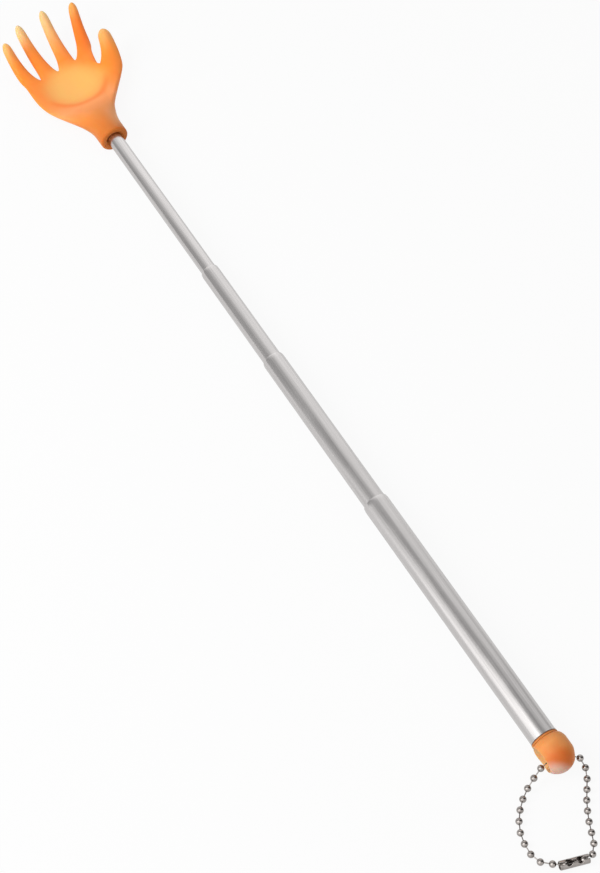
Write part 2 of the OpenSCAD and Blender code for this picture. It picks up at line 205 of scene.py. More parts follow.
print("mid grey as linear light:", round(srgb(128, 128, 128)[0], 3))


# %% Groups and materials
def new_group(name, inputs, outputs):
    """A shader node group with float inputs given as name: value, and float outputs given by name."""
    tree = bpy.data.node_groups.new(name, "ShaderNodeTree")
    for key, value in inputs.items():
        socket = tree.interface.new_socket(key, in_out="INPUT", socket_type="NodeSocketFloat")
        socket.default_value = value
    for key in outputs:
        tree.interface.new_socket(key, in_out="OUTPUT", socket_type="NodeSocketFloat")
    return tree, tree.nodes.new("NodeGroupInput"), tree.nodes.new("NodeGroupOutput")


def place_group(tree, group, **values):
    """Places a node group in a material with its own values."""
    placed_group = add_node(tree, "ShaderNodeGroup", node_tree=group)
    for key, value in values.items():
        placed_group.inputs[key].default_value = value
    return placed_group.outputs


def new_material(name):
    """A material with its node tree and its Principled shader."""
    material = bpy.data.materials.new(name)
    material.use_nodes = True
    tree = material.node_tree
    return material, tree, tree.nodes["Principled BSDF"]


def set_inputs(shader, **values):
    """Sets the shader's own sockets; underscores in a name stand for spaces."""
    for key, value in values.items():
        shader.inputs[key.replace("_", " ")].default_value = value


print("node groups so far:", len(bpy.data.node_groups))

# %% [markdown]
# ## Drawn metal
# Tube and strip are pulled through a die, which leaves fine lines along the metal. A picture of brushed steel
# could be wrapped round each piece, but it would stretch and show its seam. Noise that is stretched a long
# way along X and squeezed across it gives those lines on any piece, and a second, coarser noise gives the
# patches where hands and the next tube have polished them away.

# %% The drawn lines group
drawn_lines, given, out = new_group(
    "drawn lines", {"Along": 40.0, "Across": 2600.0, "Patch": 90.0}, ["Lines", "Polish"])
where = add_node(drawn_lines, "ShaderNodeTexCoord").outputs["Object"]
stretch = add_node(drawn_lines, "ShaderNodeCombineXYZ", {
    "X": given.outputs["Along"], "Y": given.outputs["Across"], "Z": given.outputs["Across"]})
squeezed = add_node(drawn_lines, "ShaderNodeVectorMath", {
    0: where, 1: stretch.outputs["Vector"]}, operation="MULTIPLY")
lines = add_node(drawn_lines, "ShaderNodeTexNoise", {
    "Vector": squeezed.outputs["Vector"], "Scale": 1.0, "Detail": 3.0})
patch = add_node(drawn_lines, "ShaderNodeTexNoise", {
    "Vector": where, "Scale": given.outputs["Patch"], "Detail": 2.0})
drawn_lines.links.new(lines.outputs["Fac"], out.inputs["Lines"])
drawn_lines.links.new(patch.outputs["Fac"], out.inputs["Polish"])
print("group:", drawn_lines.name)

# %% Metal finishes
LINE_DEPTH = 0.02 * MM


def metal(name, dark, light, rough, relief, **sizes):
    """A metal whose colour follows the drawn lines from `dark` to `light`, and its polish the two `rough`."""
    material, tree, shader = new_material(name)
    drawn = place_group(tree, drawn_lines, **sizes)
    colour = ramp(tree, drawn["Lines"], [(0.3, dark), (0.7, light)])
    bump = add_node(tree, "ShaderNodeBump", {
        "Height": drawn["Lines"], "Strength": relief, "Distance": LINE_DEPTH})
    tree.links.new(colour, shader.inputs["Base Color"])
    tree.links.new(spread(tree, drawn["Polish"], *rough), shader.inputs["Roughness"])
    tree.links.new(bump.outputs["Normal"], shader.inputs["Normal"])
    set_inputs(shader, Metallic=1.0)
    return material


steel = metal("satin steel", srgb(196, 193, 192), srgb(212, 209, 208), rough=(0.18, 0.26), relief=0.05,
              Along=30, Across=2600, Patch=90)
nickel = metal("nickel plate", srgb(146, 140, 136), srgb(174, 168, 164), rough=(0.1, 0.18), relief=0.06,
               Along=500, Across=500, Patch=300)
brass = metal("sprung brass", srgb(176, 140, 70), srgb(205, 170, 95), rough=(0.25, 0.4), relief=0.2,
              Along=60, Across=1800, Patch=200)
print("metals:", steel.name, nickel.name, brass.name)

# %% [markdown]
# ## The four tubes
# Each tube is one sheet of steel 0.3 mm thick, swaged in at its mouth so that the next tube cannot fall out,
# and, apart from the handle, grooved near its tail for a split bush. A Solidify could give a turned line its
# wall, but it would leave the rims square, and a drawn rim is never quite sharp. So one line says where the
# outside of the sheet runs, the inside is the same line a wall further in, and a half circle closes each end.
# A ring half a millimetre from each bend keeps the long straight between them shaded as a cylinder.

# %% The tubes
WALL, SWAGE, MOUTH_GAP = 0.3, 2.2, 0.05
GROOVE = [[1.2, 0], [1.6, -0.25], [7.8, -0.25], [8.2, 0]]
KEEP_STRAIGHT = 0.5
TUBE_SIDES, SWAGE_STEPS, RIM_STEPS = 96, 9, 7
TUBES = [("handle_tube", "handle"), ("third_tube", "third_section"), ("second_tube", "second_section"),
         ("tip_tube", "tip_section")]


def tube_line(tail, mouth, radius, neck, grooved):
    """The outside of a tube: the groove's four corners, then a quarter ellipse in to the neck."""
    line = [[tail + WALL / 2, radius]]
    if grooved:
        line += [[tail + at, radius + step] for at, step in GROOVE]
    line += [[line[-1][0] + KEEP_STRAIGHT, radius], [mouth - SWAGE - KEEP_STRAIGHT, radius]]
    a = np.linspace(0, 1, SWAGE_STEPS) * np.pi / 2
    shoulder = np.stack([mouth - SWAGE * (1 - np.sin(a)), neck + (radius - neck) * np.cos(a)], axis=1)
    shoulder[:, 0] = np.minimum(shoulder[:, 0], mouth - WALL / 2)
    return np.vstack([line, shoulder])


def sheet_profile(line):
    """A closed profile: the line, a half circle round its end, the line a wall in, and a half circle back."""
    b = np.linspace(np.pi / 2, -np.pi / 2, RIM_STEPS)[1:-1]
    half = WALL / 2 * np.stack([np.cos(b), np.sin(b) - 1], axis=1)
    inside = line[::-1] - [0, WALL]
    return np.vstack([line, line[-1] + half, inside, inside[-1] + half[::-1] * [-1, -1]])


tube_r = [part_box(name)[1].z / MM for name, _ in TUBES]
for k, (name, body) in enumerate(TUBES):
    low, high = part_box(name)
    last = k == len(TUBES) - 1
    neck = tube_r[k] if last else tube_r[k + 1] + MOUTH_GAP + WALL
    profile = sheet_profile(tube_line(low.x / MM, high.x / MM, tube_r[k], neck, k > 0))
    grid = lathe(profile, TUBE_SIDES)
    piece = new_piece(name + "_drawn", grid, ring_quads(numbered(grid, closed=True)))
    dress(piece, body, "tube_steel", steel, name)
    print(name, "radius", round(tube_r[k], 2), "from", round(low.x / MM, 1), "to", round(high.x / MM, 1))

# %% [markdown]
# ## The hidden bushes
# The split bushes sit inside the tubes, where only a closed pole's mouth lets one glimpse them. Their CAD
# solids have the right shape, so they only get the brass finish.

# %% The bushes
bushes = [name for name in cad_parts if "_bush_" in name]
for name in bushes:
    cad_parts[name].data.materials.clear()
    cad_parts[name].data.materials.append(brass)
print("bushes finished:", len(bushes))

# %% [markdown]
# ## Translucent plastic
# The hand and the knob are one orange plastic that light enters and leaves again some way off. A glossy coat
# over one orange would look like paint, so subsurface scattering gives the glow, and a fine grain keeps the
# surface satin. The tint also changes along the piece: deep at the neck and along the digits. Over it lie
# painted light, paler where light would pass through the thin hollow and tips, on the thumb's side of the
# neck and low on the knob's lamp side, and painted shade, deeper on the crease round the hollow, where the
# knob's end faces up and in a thin line where its flange meets the tube. The mesh carries one attribute that
# says how far along it each point lies, and one mask for each colour that is laid over the rest.

# %% The cloudy tint group
cloudy_tint, given, out = new_group("cloudy tint", {"Size": 120.0, "Depth": 0.1}, ["Cloud"])
where = add_node(cloudy_tint, "ShaderNodeTexCoord").outputs["Object"]
cloud = add_node(cloudy_tint, "ShaderNodeTexNoise", {
    "Vector": where, "Scale": given.outputs["Size"], "Detail": 2.0})
centred = reckon(cloudy_tint, "SUBTRACT", cloud.outputs["Fac"], 0.5)
scaled = reckon(cloudy_tint, "MULTIPLY", centred, given.outputs["Depth"])
cloudy_tint.links.new(scaled, out.inputs["Cloud"])
print("group:", cloudy_tint.name)

# %% The fine grain group
fine_grain, given, out = new_group("fine grain", {"Size": 350.0}, ["Grain"])
where = add_node(fine_grain, "ShaderNodeTexCoord").outputs["Object"]
grain = add_node(fine_grain, "ShaderNodeTexNoise", {
    "Vector": where, "Scale": given.outputs["Size"], "Detail": 2.0})
fine_grain.links.new(grain.outputs["Fac"], out.inputs["Grain"])
print("group:", fine_grain.name)

# %% The rim of the palm's hollow, painted shade
PALM_L, HOLLOW_BACK = 47.5, 10.5
RIM_R, RIM_W = 13.2, 2.4
hollow_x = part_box("scratching_hand")[0].x + (PALM_L - HOLLOW_BACK) * MM


def rim_shade_mask(tree, where, share):
    """Painted shade on the crease where the heel slopes into the hollow: a soft ring round its middle, 1 at
    RIM_R from it, and 0 from RIM_W nearer or further.
    """
    middle = add_node(tree, "ShaderNodeVectorMath", {0: where, 1: (hollow_x, 0, 0)}, operation="SUBTRACT")
    level = add_node(tree, "ShaderNodeVectorMath", {
        0: middle.outputs["Vector"], 1: (1, 1, 0)}, operation="MULTIPLY")
    away = add_node(tree, "ShaderNodeVectorMath", {0: level.outputs["Vector"]}, operation="LENGTH")
    off = reckon(tree, "ABSOLUTE", reckon(tree, "SUBTRACT", away.outputs["Value"], RIM_R * MM))
    ring = add_node(tree, "ShaderNodeMapRange", {
        "Value": off, "From Min": 0.0, "From Max": RIM_W * MM, "To Min": 1.0, "To Max": 0.0},
        interpolation_type="SMOOTHSTEP")
    return reckon(tree, "MULTIPLY", ring.outputs["Result"], share)


print("middle of the hollow at x in mm:", round(hollow_x / MM, 1))

# %% Plastic finishes
GRAIN_SIZE, GRAIN_RELIEF, GRAIN_DEPTH = 350.0, 0.03, 0.2 * MM
SATIN = (0.36, 0.46)


def plastic(name, stops, washes, cloud_size, cloud_depth):
    """Orange plastic: a tint through `stops` along the piece, with each wash laid over it by its mask."""
    material, tree, shader = new_material(name)
    along = add_node(tree, "ShaderNodeAttribute", attribute_name="along").outputs["Fac"]
    cloud = place_group(tree, cloudy_tint, Size=cloud_size, Depth=cloud_depth)["Cloud"]
    tint = ramp(tree, reckon(tree, "ADD", along, cloud, use_clamp=True), stops)
    where = add_node(tree, "ShaderNodeTexCoord").outputs["Object"]
    for mask, colour in washes.items():
        share = add_node(tree, "ShaderNodeAttribute", attribute_name=mask).outputs["Fac"]
        if mask == "rim_shade":
            share = rim_shade_mask(tree, where, share)
        laid = add_node(tree, "ShaderNodeMix", {0: share, 6: tint, 7: (*colour, 1)}, data_type="RGBA")
        tint = laid.outputs[2]
    grain = place_group(tree, fine_grain, Size=GRAIN_SIZE)["Grain"]
    bump = add_node(tree, "ShaderNodeBump", {
        "Height": grain, "Strength": GRAIN_RELIEF, "Distance": GRAIN_DEPTH})
    tree.links.new(tint, shader.inputs["Base Color"])
    tree.links.new(spread(tree, grain, *SATIN), shader.inputs["Roughness"])
    tree.links.new(bump.outputs["Normal"], shader.inputs["Normal"])
    set_inputs(shader, Subsurface_Weight=0.45, Subsurface_Scale=0.002, Subsurface_Radius=(1.0, 0.4, 0.15))
    set_inputs(shader, IOR=1.49, Specular_IOR_Level=0.22)
    return material


# Of these, honey in the hollow, cream at the tips, peach on the neck and rose on the knob are painted light,
# and ember on the hollow's rim and rust on the knob are painted shade; ember also deepens the digits.
CREAM, EMBER, HONEY = srgb(236, 206, 148), srgb(255, 118, 28), srgb(255, 186, 98)
LIT_PEACH, LIT_ROSE = srgb(255, 188, 126), srgb(236, 190, 168)
SHADE_ORANGE, STRAW = srgb(216, 112, 42), srgb(222, 176, 120)
hand_plastic = plastic("hand plastic", [
    (0.0, srgb(208, 116, 42)), (0.1, srgb(230, 138, 62)), (0.22, srgb(255, 160, 96)),
    (0.36, srgb(255, 150, 66)), (0.5, srgb(255, 142, 48)), (0.75, srgb(255, 152, 54)),
    (1.0, srgb(250, 166, 72))],
    {"hollow": HONEY, "rim_shade": EMBER, "warm": EMBER, "pale": CREAM, "neck": LIT_PEACH},
    cloud_size=140, cloud_depth=0.06)
# The knob's first stops are a painted shadow: a dark brown line where its flange meets the tube
knob_plastic = plastic("knob plastic", [
    (0.0, srgb(120, 72, 36)), (0.02, srgb(140, 84, 42)), (0.035, srgb(206, 126, 62)),
    (0.3, srgb(228, 150, 82)), (1.0, srgb(222, 136, 68))],
    {"warm": SHADE_ORANGE, "pale": LIT_ROSE, "recess": STRAW}, cloud_size=160, cloud_depth=0.02)
print("plastics:", hand_plastic.name, knob_plastic.name)

# %% [markdown]
# ## The hand
# A hand could be sculpted or joined from separate digits. Here it is a cage of rings: slices run from the
# collar to the knuckles, the last slice is shared out among the four fingers, and a patch at the palm's edge
# opens into the thumb. A Subdivision Surface then rounds the whole cage and draws it in a little.

# %% The palm's slices
COLLAR_R, MOUTH_SIZE, FIRST_AT = 5.9, 0.72, 4
PALM_W, PALM_T, CUP, OFFSET, SLANT = 34.0, 3.4, 3.0, 1.6, math.radians(9.5)
KNOB_R = 6.2
KNUCKLE_Z = -KNOB_R + PALM_T / 2
SIDES, FACETS, SLICES = 32, 4, 15
SPREAD_FROM, SPREAD_TO = 6.5, 43
HOLLOW_R, HOLLOW_DEEP = 12.5, 0.9
FLARE, FLARE_STEP = 0.8, 15


def dish(x, y):
    """1 less the square of the distance from the hollow's middle over its radius: 0 lies on its edge."""
    return 1 - ((x - PALM_L + HOLLOW_BACK) ** 2 + y**2) / HOLLOW_R**2


def palm_slices():
    """Rows across the palm: a circle spreads by s = 1 - (1-u)^3 (1+3u) to a flat ellipse, whose ends rise by
    the square of their share of the width and whose top is dished."""
    a = np.radians(np.arange(FLARE_STEP, 91, FLARE_STEP))
    x = np.concatenate([FLARE * (1 - np.cos(a)), np.linspace(FIRST_AT, PALM_L, SLICES + 1)])[:, None]
    size = np.concatenate([MOUTH_SIZE + (1 - MOUTH_SIZE) * np.sin(a), np.ones(SLICES + 1)])[:, None]
    i = np.arange(SIDES)
    u = np.clip((x - SPREAD_FROM) / (SPREAD_TO - SPREAD_FROM), 0, 1)
    s = 1 - (1 - u) ** 3 * (1 + 3 * u)
    circle, even = np.cos(2 * np.pi * i / SIDES), np.abs(4 * i / SIDES - 2) - 1
    share = circle + (even - circle) * s
    y = (COLLAR_R + (PALM_W / 2 - COLLAR_R) * s) * size * share
    thick = (COLLAR_R + (PALM_T / 2 - COLLAR_R) * s) * size * np.sqrt(np.maximum(1 - share**2, 0))
    x, y = x - y * math.tan(SLANT) * s, y + OFFSET * s
    above = (i > 0) & (i < SIDES / 2)
    sunk = HOLLOW_DEEP * np.maximum(dish(x, y), 0)
    z = KNUCKLE_Z * s + CUP * s * share**2 + np.where(above, thick - sunk, -thick)
    return np.stack([x, y, z], axis=-1)


print("rows and columns of the palm:", palm_slices().shape[:2])

# %% The socket
SOCKET_R, SOCKET_L = 3.04, 12.0
# How far in each row lies, and how much wider than the bore it is
SOCKET_ROWS = [[SOCKET_L, 0], [SOCKET_L - 0.4, 0], [SOCKET_L / 2, 0], [FLARE + 0.3, 0], [FLARE, 0.05],
               [FLARE / 2, FLARE / 2], [0.15, FLARE - 0.1]]
socket = lathe(np.array(SOCKET_ROWS) + [0, SOCKET_R], SIDES)
rows = np.concatenate([socket, palm_slices()])
slice_numbers = numbered(rows)
first_slice = len(rows) - 1 - SLICES
print("rows of the socket and palm:", len(rows))

# %% [markdown]
# ### Digits
# Each digit follows a bend through three places and carries a ring that shrinks towards a round tip. The
# rings of a finger have as many points as the part of the last slice that it grows from, so that the faces
# run on unbroken. The first ring of each finger is drawn half way towards the middle of its neighbours,
# which eases the finger into the palm.

# %% Rings along a bend
STATIONS = np.array([0.13, 0.28, 0.43, 0.57, 0.7, 0.81, 0.9, 0.96, 1.0])
ROUND_FROM, BLUNT, TAPER = 0.86, 1.06, 1.4


def digit_rings(path, width, thick, tip, points, first):
    """Rings round the bend p0 (1-t)^2 + p1 2t(1-t) + p2 t^2, which taper and close at the tip."""
    t = STATIONS[:, None]
    centre = path[0] * (1 - t) ** 2 + path[1] * 2 * t * (1 - t) + path[2] * t**2
    d = (path[1] - path[0]) * (1 - t) + (path[2] - path[1]) * t
    d /= np.linalg.norm(d, axis=1, keepdims=True)
    side = np.stack([-d[:, 1], d[:, 0], 0 * d[:, 0]], axis=1)
    side /= np.linalg.norm(side, axis=1, keepdims=True)
    over = np.cross(d, side)
    close = np.sqrt(BLUNT - (np.maximum(t - ROUND_FROM, 0) / (1 - ROUND_FROM)) ** 2) / 2
    w = (tip + (width - tip) * (1 - t) ** TAPER) * close
    h = (tip + (thick - tip) * (1 - t)) * close
    a = first + 2 * np.pi * np.arange(points) / points
    return (centre[:, None] + (side * w)[:, None] * np.cos(a)[None, :, None]
            + (over * h)[:, None] * np.sin(a)[None, :, None])


print("rings along each digit:", len(STATIONS))

# %% Fingers
# Each finger's length, its angle from the pole towards the little finger's side, and its shift to that side
FINGERS = [(17.0, 11, 0.3), (23.5, 7, -0.2), (24.5, 0, -1.2), (20.0, -10, -1.7)]
FINGER_W, TIP_D, CURL_AT, CURL_H, ROOT_EASE = 7.4, 4.0, 0.6, 11.5, 0.5


def finger_path(k):
    """From the middle of the finger's root, level along its own way, and then up by the curl."""
    length, way, over = FINGERS[k]
    forward = np.array([math.cos(math.radians(way)), math.sin(math.radians(way)), 0])
    share = 1 - (2 * k + 1) / len(FINGERS)
    y = PALM_W / 2 * share
    root = np.array([PALM_L - y * math.tan(SLANT), y + OFFSET + over, KNUCKLE_Z + CUP * share**2])
    return np.stack([root, root + CURL_AT * length * forward, root + length * forward + [0, 0, CURL_H]])


def finger_root(k):
    """The last slice's points above this finger's root, then those beneath it, each counted once."""
    above = np.arange(k * FACETS, (k + 1) * FACETS + 1)
    beneath = np.arange(SIDES - (k + 1) * FACETS, SIDES - k * FACETS + 1) % SIDES
    return slice_numbers[-1][np.concatenate([above, beneath[~np.isin(beneath, above)]])]


roots = [finger_root(k) for k in range(len(FINGERS))]
digits = []
for k, root in enumerate(roots):
    first = 0 if k == 0 else np.pi / len(root)
    rings = digit_rings(finger_path(k), FINGER_W, PALM_T, TIP_D, len(root), first)
    rings[0] += ROOT_EASE * ((rows.reshape(-1, 3)[root] + rings[1]) / 2 - rings[0])
    digits.append(rings)
print("points round each finger:", [len(root) for root in roots])

# %% The thumb
THUMB_W, THUMB_T, THUMB_TIP = 11.0, 4.8, 5.2
PALM_EDGE = OFFSET - PALM_W / 2
# How far each place of the bend lies past the knuckles, out from the palm's edge, and over the knuckles
THUMB_BEND = [[-12.0, -0.6, 2.7], [-5.5, -6.2, 2.7], [3.4, -5.3, CURL_H]]
# The rows and columns of the palm's edge that open into the thumb
THUMB_ROWS, THUMB_HALF = slice(first_slice + 5, first_slice + 15), 2
THUMB_SIDES = slice(SIDES // 2 - THUMB_HALF, SIDES // 2 + THUMB_HALF)
patch = slice_numbers[THUMB_ROWS.start:THUMB_ROWS.stop + 1, THUMB_SIDES.start:THUMB_SIDES.stop + 1]
thumb_root = np.concatenate([patch[0], patch[1:-1, -1], patch[-1, ::-1], patch[-2:0:-1, 0]])
thumb_path = np.array(THUMB_BEND) + [PALM_L, PALM_EDGE, KNUCKLE_Z]
thumb_first = np.pi - 2 * np.pi * THUMB_HALF / len(thumb_root)
roots.append(thumb_root)
digits.append(digit_rings(thumb_path, THUMB_W, THUMB_T, THUMB_TIP, len(thumb_root), thumb_first))
print("points round the thumb:", len(thumb_root))

# %% The hand's cage
kept = np.ones((len(rows) - 1, SIDES), bool)
kept[THUMB_ROWS, THUMB_SIDES] = False
points = [rows.reshape(-1, 3)]
faces = ring_quads(slice_numbers)[kept.ravel()].tolist() + [slice_numbers[0][::-1].tolist()]
start = rows.shape[0] * SIDES
for root, rings in zip(roots, digits):
    numbers = start + numbered(rings)
    start += numbers.size
    points.append(rings.reshape(-1, 3))
    faces += ring_quads(np.vstack([root[None], numbers])).tolist() + [numbers[-1].tolist()]
collar_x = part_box("scratching_hand")[0].x / MM
hand = new_piece("moulded_hand", np.concatenate(points) + [collar_x, 0, 0], faces, sharp=180)
rounded = hand.modifiers.new("rounded", "SUBSURF")
rounded.levels = rounded.render_levels = 3
dress(hand, "tip_section", "orange_plastic", hand_plastic, "scratching_hand")
print("hand cage:", len(hand.data.vertices), "points,", len(hand.data.polygons), "faces")

# %% [markdown]
# ### The hand's tints, painted light and painted shade
# The hollow and the tips are paler with painted light, as if light passed through the thin plastic, the
# thumb's side of the neck is paler with painted light where it lies in shade, the crease on the heel side of
# the hollow is deeper with painted shade, and the index is the deepest. Each of these is a mask from 0 to 1
# on the cage, and the Subdivision Surface blends it as it blends the shape. On the back of the hand the
# hollow's painted light only shines through.

# %% Masks
def smooth(t):
    """A soft step: 0 up to t = 0, 1 from t = 1, and 3 t squared less 2 t cubed between them."""
    t = np.clip(t, 0, 1)
    return t * t * (3 - 2 * t)


def paint(piece, **masks):
    """Stores one number for each point of a piece under each name."""
    for name, values in masks.items():
        stored = piece.data.attributes.new(name, "FLOAT", "POINT")
        stored.data.foreach_set("value", np.asarray(values, np.float32).ravel())


print("a soft step a quarter of the way up:", smooth(0.25))

# %% The hand's masks
HOLLOW_WIDER, HOLLOW_SOFT, SHINES_THROUGH = 0.35, 1.1, 0.35
RIM_SHARE, RIM_BEHIND, RIM_FADE = 0.5, 2, 6
NECK_LIGHT_SHARE, NECK_FROM, NECK_RISE, NECK_TO, NECK_FALL, NECK_SIDE, SIDE_RISE = 0.6, 1, 4, 6, 14, 1, 7
PALE_TIPS, PALE_FROM = [0.4, 0.9, 0.8, 0.2, 0.3], [0.5, 0.5, 0.1, 0.6, 0.5]
WARM_DIGITS, WARM_RISE, WARM_TO = [0.2, 0.25, 0.1, 0.65, 0.2], 0.3, 0.7
x, y = rows[..., 0], rows[..., 1]
outside = np.arange(len(rows))[:, None] >= len(socket)
on_palm = np.sin(2 * np.pi * np.arange(SIDES) / SIDES) > 0
# The hollow mask is painted light: paler where light would pass through the thin palm, weaker on the back
hollow = np.where(on_palm, 1, SHINES_THROUGH) * smooth((dish(x, y) + HOLLOW_WIDER) / HOLLOW_SOFT)
# The rim mask is painted shade on the heel side of the hollow's crease
rim_shade = np.where(on_palm, RIM_SHARE, 0) * smooth((PALM_L - HOLLOW_BACK - RIM_BEHIND - x) / RIM_FADE)
# The neck mask is painted light on the thumb's side of the neck, which lies in shade
neck = smooth((x - NECK_FROM) / NECK_RISE) * (1 - smooth((x - NECK_TO) / NECK_FALL))
neck = NECK_LIGHT_SHARE * neck * smooth((NECK_SIDE - y) / SIDE_RISE)
on_rows = {"along": smooth(x / PALM_L) / 2, "hollow": hollow, "rim_shade": rim_shade, "neck": neck}
warm_part = smooth(STATIONS / WARM_RISE) * (1 - smooth((STATIONS - WARM_TO) / WARM_RISE))
masks = {}
for mask in ("along", "hollow", "rim_shade", "neck", "pale", "warm"):
    masks[mask] = [np.where(outside, on_rows.get(mask, 0 * x), 0).ravel()]
for k, rings in enumerate(digits):
    # Painted light: each tip turns pale where light would pass through the thin plastic
    pale_part = smooth((STATIONS - PALE_FROM[k]) / (1 - PALE_FROM[k]))
    on_digit = {"along": 0.5 + 0.5 * STATIONS, "pale": PALE_TIPS[k] * pale_part,
                "warm": WARM_DIGITS[k] * warm_part}
    for mask, values in masks.items():
        values.append(np.repeat(on_digit.get(mask, 0 * STATIONS), rings.shape[1]))
paint(hand, **{mask: np.concatenate(values) for mask, values in masks.items()})
print("masks on the hand:", list(masks))

# %% [markdown]
# ## The end knob
# The knob is a ball that runs into a short flange, with a spigot inside the tube and a cross hole for the
# chain that flares at one mouth and has a wide recess at the other. The recess leans down towards the ground,
# where the chain leaves it. The hole could be worked into the ball's own grid, but two turned shapes are
# simpler: a body and a bar, and a Boolean takes the bar from the body.

# %% The knob's turned body
def capped(numbers):
    """Faces of a closed bar: the quads between its rings and one face over each end ring."""
    return ring_quads(numbers).tolist() + [numbers[0][::-1].tolist(), numbers[-1].tolist()]


KNOB_L, SPIGOT_L, SPIGOT_R, SPIGOT_EDGE = 13.0, 8.0, 4.48, 0.3
FLANGE_R, FLANGE_L, WAIST_R, SHOULDER_L, EDGE = 4.95, 0.9, 4.5, 3.2, 0.12
KNOB_SIDES, KNOB_STEP = 128, 5
handle_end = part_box("handle_tube")[0].x / MM
knob_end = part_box("end_knob")[0].x / MM
ball_x = handle_end - (KNOB_L - KNOB_R)
waist_x = handle_end - FLANGE_L
a = np.radians(np.arange(0, 91, KNOB_STEP))
swell = np.stack([waist_x - SHOULDER_L * (1 - np.cos(a)), WAIST_R + (KNOB_R - WAIST_R) * np.sin(a)], axis=1)
dome = np.stack([ball_x - KNOB_R * np.sin(a), KNOB_R * np.cos(a)], axis=1)[:-1]
spigot = [[handle_end + SPIGOT_L, SPIGOT_R - SPIGOT_EDGE], [handle_end + SPIGOT_L - SPIGOT_EDGE, SPIGOT_R],
          [handle_end, SPIGOT_R]]
flange = [[handle_end, FLANGE_R - EDGE], [handle_end - EDGE, FLANGE_R], [waist_x + EDGE, FLANGE_R],
          [waist_x, FLANGE_R - EDGE]]
grid = lathe(np.vstack([spigot, flange, swell, dome])[::-1], KNOB_SIDES)
knob = new_piece("turned_knob", grid, capped(numbered(grid)))
print("knob from x", round(knob_end, 1), "to", round(handle_end + SPIGOT_L, 1))

# %% The cross hole
HOLE_INSET, HOLE_R, FLARE_AT, HOLE_TURN = 4.8, 1.7, 4.4, math.radians(14.5)
RECESS_AT, RECESS_LEAN = 2.2, 0.45
CUTTER_END, CUTTER_SIDES, KNOB_CREASE = 9, 64, 28
hole_x = knob_end + HOLE_INSET
across = np.array([math.sin(HOLE_TURN), math.cos(HOLE_TURN), 0])
aside = np.array([math.cos(HOLE_TURN), -math.sin(HOLE_TURN), 0])
reach = np.array([-CUTTER_END, -FLARE_AT, RECESS_AT, CUTTER_END])
width = HOLE_R + np.maximum(np.maximum(-reach - FLARE_AT, reach - RECESS_AT), 0)
bar = lathe(np.stack([reach, width], axis=1), CUTTER_SIDES)
bar = bar[..., :1] * across + bar[..., 1:2] * aside - bar[..., 2:] * [0, 0, 1] + [hole_x, 0, 0]
bar[..., 2] -= RECESS_LEAN * np.maximum(reach - RECESS_AT, 0)[:, None]
hole = new_piece("hole_cutter", bar, capped(numbered(bar)))
cut = knob.modifiers.new("cross hole", "BOOLEAN")
cut.operation, cut.solver, cut.object = "DIFFERENCE", "EXACT", hole
seen = bpy.context.evaluated_depsgraph_get()
cut_mesh = bpy.data.meshes.new_from_object(knob.evaluated_get(seen))
knob.modifiers.clear()
knob.data = cut_mesh
bpy.data.objects.remove(hole)
knob.data.set_sharp_from_angle(angle=math.radians(KNOB_CREASE))
print("knob:", len(knob.data.vertices), "points")

# %% [markdown]
# ### The knob's tints, painted light and painted shade
# The ball is deepest in tint, with painted shade, where its end faces up, and palest, with painted light,
# lower down on the lamp's side. Each of these is a mask by the direction in which a point lies from the
# ball's middle. The recess is found by its own formula: a point on it lies as far from the hole's axis as the
# cone does at that depth.

# %% The knob's masks
# The ways of the painted shade (DEEP) and of the painted light (PALE) from the ball's middle
DEEP_WAY, DEEP_FROM, DEEP_SPAN = np.array([-0.72, 0.2, 0.66]), 0.45, 0.5
PALE_WAY, PALE_LOW, PALE_SPAN = np.array([-0.81, 0.57, -0.11]), 0.5, 0.45
ON_CONE, INTO_CONE, RECESS_SHARE = 0.05, 0.1, 0.8
coords = np.zeros(len(knob.data.vertices) * 3, np.float32)
knob.data.vertices.foreach_get("co", coords)
at = coords.reshape(-1, 3) / MM
way = (at - [ball_x, 0, 0]) / KNOB_R
from_hole = at - [hole_x, 0, 0]
deep = from_hole @ across
from_hole[:, 2] += RECESS_LEAN * np.maximum(deep - RECESS_AT, 0)
away = np.linalg.norm(from_hole - deep[:, None] * across, axis=1)
on_cone = np.abs(away - HOLE_R - np.maximum(deep - RECESS_AT, 0)) < ON_CONE
paint(knob, along=np.clip((handle_end - at[:, 0]) / (handle_end - knob_end), 0, 1),
      # Painted shade, where the ball's end faces up
      warm=smooth((way @ DEEP_WAY - DEEP_FROM) / DEEP_SPAN),
      # Painted light, lower down on the lamp's side
      pale=smooth((way @ PALE_WAY - PALE_LOW) / PALE_SPAN),
      recess=np.where(on_cone & (deep > RECESS_AT + INTO_CONE), RECESS_SHARE, 0))
dress(knob, "handle", "orange_plastic", knob_plastic, "end_knob")
print("points on the knob's recess:", int((on_cone & (deep > RECESS_AT + INTO_CONE)).sum()))

# %% [markdown]
# ## The ball chain
# A ball chain is made by rolling strip round short wires with a head at each end. Each bead is a hollow ball
# with a rolled-in hole at both ends, and the wires show between the beads as short necks. An Array along a
# curve could set out the beads, but each one stands for a CAD node of its own, so one turned profile is
# placed again and again.

# %% The beads
BEAD_R, BEAD_HOLE, BEAD_STEPS, BEAD_SIDES = 1.2, 0.3, 17, 28
LIP = np.array([[0.12, -0.03], [0.3, 0.0]])
bead_names = sorted(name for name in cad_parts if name.startswith("chain_bead_"))
centres = np.array([np.add(*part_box(name)) / 2 / MM for name in bead_names])


def facing(direction):
    """The three directions of a piece drawn along X: its own, level to its left, and the one over both."""
    ahead = direction / np.linalg.norm(direction, axis=-1, keepdims=True)
    left = np.stack([-ahead[..., 1], ahead[..., 0], 0 * ahead[..., 0]], axis=-1)
    left = left / np.linalg.norm(left, axis=-1, keepdims=True)
    return np.stack([ahead, left, np.cross(ahead, left)], axis=-2)


